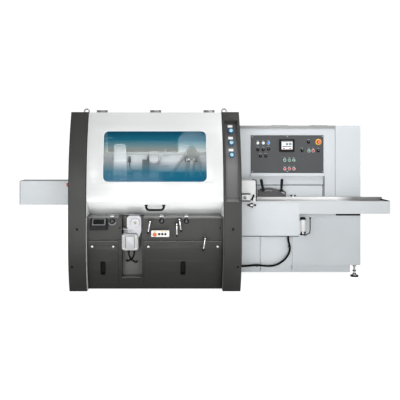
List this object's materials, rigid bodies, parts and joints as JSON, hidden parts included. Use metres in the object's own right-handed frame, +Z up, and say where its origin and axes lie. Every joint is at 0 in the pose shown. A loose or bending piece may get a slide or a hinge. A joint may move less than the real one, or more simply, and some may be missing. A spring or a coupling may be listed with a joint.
{
  "type": "four-sided planer moulder",
  "caption": "Floor-standing four-sided planer moulder with a bowed lifting hood and window, through table, cutter spindles, feed rollers, lower controls and side control cabinet.",
  "frame": {"origin": "on the floor under the middle of the machine's bounding box", "axes": "+X along the tables towards the infeed end, -Y towards the operator, +Z up; the work travels along -X"},
  "size_m": [3.772, 1.5, 1.81],
  "materials": {
    "dark_paint": "satin",
    "white_paint": "gloss",
    "light_paint": "satin",
    "panel_grey": "satin",
    "window": "clear",
    "casting": "ground",
    "steel": "brushed",
    "chrome": "polished",
    "black_plastic": "matte",
    "red_plastic": "gloss",
    "black_rubber": "matte",
    "mixed_plastic": "gloss",
    "motor_paint": "satin"
  },
  "bodies": {
    "frame": {"base_frame": "dark_paint", "machine_bed": "casting", "left_pillar": "dark_paint", "right_pillar": "dark_paint", "rear_cover": "dark_paint", "lower_fascia": "dark_paint", "electrical_cabinet": "light_paint", "control_panel": "panel_grey", "touch_screen": "black_plastic", "panel_controls": "mixed_plastic", "infeed_table": "steel", "infeed_side_box": "light_paint", "infeed_cover": "white_paint", "outfeed_table": "steel", "outfeed_cover": "light_paint", "dust_spigots": "steel", "lifting_eyes": "steel", "levelling_feet": "steel", "pressure_gauges": "chrome", "position_display": "panel_grey", "position_counters": "black_plastic", "lift_gearmotor": "motor_paint", "motor_cables": "black_rubber", "front_control_box": "panel_grey", "lubricator_pump": "white_paint", "conduit": "black_rubber", "spindle_motors": "motor_paint"},
    "hood": {"hood": "white_paint", "hood_window": "window", "hood_handle": "black_plastic"},
    "feed_beam": {"feed_beam": "casting", "beam_fittings": "steel"},
    "feed_roller_1": {"feed_roller_1": "steel"},
    "feed_roller_2": {"feed_roller_2": "steel"},
    "feed_roller_3": {"feed_roller_3": "steel"},
    "top_spindle": {"top_spindle": "steel"},
    "bottom_spindle": {"bottom_spindle": "steel"},
    "right_spindle": {"right_spindle": "steel"},
    "left_spindle": {"left_spindle": "steel"},
    "left_door": {"left_door": "dark_paint"},
    "left_door_knob_1": {"left_door_knob_1": "black_plastic"},
    "left_door_knob_2": {"left_door_knob_2": "black_plastic"},
    "right_door": {"right_door": "dark_paint"},
    "right_door_knob_1": {"right_door_knob_1": "black_plastic"},
    "right_door_knob_2": {"right_door_knob_2": "black_plastic"},
    "adjusting_dial_1": {"adjusting_dial_1": "black_plastic"},
    "adjusting_dial_2": {"adjusting_dial_2": "black_plastic"},
    "adjusting_dial_3": {"adjusting_dial_3": "black_plastic"},
    "clamp_lever_1": {"clamp_lever_1": "chrome"},
    "clamp_lever_2": {"clamp_lever_2": "chrome"},
    "clamp_lever_3": {"clamp_lever_3": "chrome"},
    "clamp_lever_4": {"clamp_lever_4": "chrome"},
    "panel_stop": {"panel_stop": "red_plastic"},
    "front_stop": {"front_stop": "red_plastic"},
    "side_stop": {"side_stop": "red_plastic"},
    "lubricator_lever": {"lubricator_lever": "chrome"},
    "infeed_fence": {"infeed_fence": "casting"},
    "fence_handle_1": {"fence_handle_1": "black_plastic"},
    "fence_handle_2": {"fence_handle_2": "black_plastic"},
    "infeed_knob": {"infeed_knob": "black_plastic"}
  },
  "joints": [
    {"name": "hood_turn", "type": "hinge", "parent": "frame", "child": "hood", "pos_m": [-0.51, -0.06, 1.749], "axis": [-1, 0, 0], "range_deg": [0, 70]},
    {"name": "feed_beam_slide", "type": "slide", "parent": "frame", "child": "feed_beam", "axis": [0, 0, 1], "range_m": [-0.01, 0.14]},
    {"name": "feed_roller_1_turn", "type": "hinge", "parent": "feed_beam", "child": "feed_roller_1", "pos_m": [0.06, -0.225, 0.93], "axis": [0, 1, 0], "continuous": true},
    {"name": "feed_roller_2_turn", "type": "hinge", "parent": "feed_beam", "child": "feed_roller_2", "pos_m": [-0.52, -0.225, 0.93], "axis": [0, 1, 0], "continuous": true},
    {"name": "feed_roller_3_turn", "type": "hinge", "parent": "feed_beam", "child": "feed_roller_3", "pos_m": [-0.69, -0.225, 0.93], "axis": [0, 1, 0], "continuous": true},
    {"name": "top_spindle_turn", "type": "hinge", "parent": "feed_beam", "child": "top_spindle", "pos_m": [-0.87, -0.12, 0.922], "axis": [0, 1, 0], "continuous": true},
    {"name": "bottom_spindle_turn", "type": "hinge", "parent": "frame", "child": "bottom_spindle", "pos_m": [0.02, -0.12, 0.778], "axis": [0, 1, 0], "continuous": true},
    {"name": "right_spindle_turn", "type": "hinge", "parent": "frame", "child": "right_spindle", "pos_m": [-0.18, -0.083, 0.845], "axis": [0, 0, 1], "continuous": true},
    {"name": "left_spindle_turn", "type": "hinge", "parent": "frame", "child": "left_spindle", "pos_m": [-0.38, -0.342, 0.845], "axis": [0, 0, 1], "continuous": true},
    {"name": "left_door_turn", "type": "hinge", "parent": "frame", "child": "left_door", "pos_m": [-1.0115, -0.5816, 0.02], "axis": [1, 0, 0], "range_deg": [0, 25]},
    {"name": "left_door_knob_1_turn", "type": "hinge", "parent": "left_door", "child": "left_door_knob_1", "pos_m": [-1.1125, -0.68, 0.438], "axis": [0, 1, 0], "range_deg": [0, 90]},
    {"name": "left_door_knob_2_turn", "type": "hinge", "parent": "left_door", "child": "left_door_knob_2", "pos_m": [-0.9105, -0.68, 0.438], "axis": [0, 1, 0], "range_deg": [0, 90]},
    {"name": "right_door_turn", "type": "hinge", "parent": "frame", "child": "right_door", "pos_m": [-0.24, -0.5816, 0.02], "axis": [1, 0, 0], "range_deg": [0, 5]},
    {"name": "right_door_knob_1_turn", "type": "hinge", "parent": "right_door", "child": "right_door_knob_1", "pos_m": [-0.5725, -0.68, 0.438], "axis": [0, 1, 0], "range_deg": [0, 90]},
    {"name": "right_door_knob_2_turn", "type": "hinge", "parent": "right_door", "child": "right_door_knob_2", "pos_m": [0.0925, -0.68, 0.438], "axis": [0, 1, 0], "range_deg": [0, 90]},
    {"name": "adjusting_dial_1_turn", "type": "hinge", "parent": "frame", "child": "adjusting_dial_1", "pos_m": [-0.9225, -0.66, 0.679], "axis": [0, 1, 0], "continuous": true},
    {"name": "adjusting_dial_2_turn", "type": "hinge", "parent": "frame", "child": "adjusting_dial_2", "pos_m": [-0.4455, -0.66, 0.679], "axis": [0, 1, 0], "continuous": true},
    {"name": "adjusting_dial_3_turn", "type": "hinge", "parent": "frame", "child": "adjusting_dial_3", "pos_m": [-0.2085, -0.66, 0.679], "axis": [0, 1, 0], "continuous": true},
    {"name": "clamp_lever_1_turn", "type": "hinge", "parent": "frame", "child": "clamp_lever_1", "pos_m": [-0.5555, -0.66, 0.684], "axis": [0, 1, 0], "range_deg": [0, 35]},
    {"name": "clamp_lever_2_turn", "type": "hinge", "parent": "frame", "child": "clamp_lever_2", "pos_m": [-0.3015, -0.66, 0.659], "axis": [0, 1, 0], "range_deg": [0, 70]},
    {"name": "clamp_lever_3_turn", "type": "hinge", "parent": "frame", "child": "clamp_lever_3", "pos_m": [-0.2765, -0.66, 0.703], "axis": [0, 1, 0], "range_deg": [-70, 0]},
    {"name": "clamp_lever_4_turn", "type": "hinge", "parent": "frame", "child": "clamp_lever_4", "pos_m": [-0.0305, -0.66, 0.521], "axis": [0, 1, 0], "range_deg": [-45, 45]},
    {"name": "panel_stop_slide", "type": "slide", "parent": "frame", "child": "panel_stop", "axis": [0, 1, 0], "range_m": [0, 0.005], "stiffness_N_per_m": 1200, "springref_m": -0.002},
    {"name": "front_stop_slide", "type": "slide", "parent": "frame", "child": "front_stop", "axis": [0, 1, 0], "range_m": [0, 0.005], "stiffness_N_per_m": 1200, "springref_m": -0.002},
    {"name": "side_stop_slide", "type": "slide", "parent": "frame", "child": "side_stop", "axis": [1, 0, 0], "range_m": [0, 0.005], "stiffness_N_per_m": 1200, "springref_m": -0.002},
    {"name": "lubricator_lever_turn", "type": "hinge", "parent": "frame", "child": "lubricator_lever", "pos_m": [1.0218, -0.338, 0.493], "axis": [0, 1, 0], "range_deg": [0, 55], "stiffness_Nm_per_rad": 0.6, "springref_deg": -34.38},
    {"name": "infeed_fence_slide", "type": "slide", "parent": "frame", "child": "infeed_fence", "axis": [0, -1, 0], "range_m": [0, 0.008]},
    {"name": "fence_handle_1_turn", "type": "hinge", "parent": "infeed_fence", "child": "fence_handle_1", "pos_m": [0.6235, -0.145, 0.938], "axis": [0, 1, 0], "range_deg": [-60, 0]},
    {"name": "fence_handle_2_turn", "type": "hinge", "parent": "infeed_fence", "child": "fence_handle_2", "pos_m": [0.8145, -0.145, 0.938], "axis": [0, 1, 0], "range_deg": [0, 70]},
    {"name": "infeed_knob_turn", "type": "hinge", "parent": "frame", "child": "infeed_knob", "pos_m": [0.4705, -0.35, 0.8], "axis": [0, 1, 0], "continuous": true}
  ],
  "couplings": [
    {"joint": "feed_roller_2_turn", "follows": "feed_roller_1_turn", "ratio": 1},
    {"joint": "feed_roller_3_turn", "follows": "feed_roller_1_turn", "ratio": 1}
  ]
}
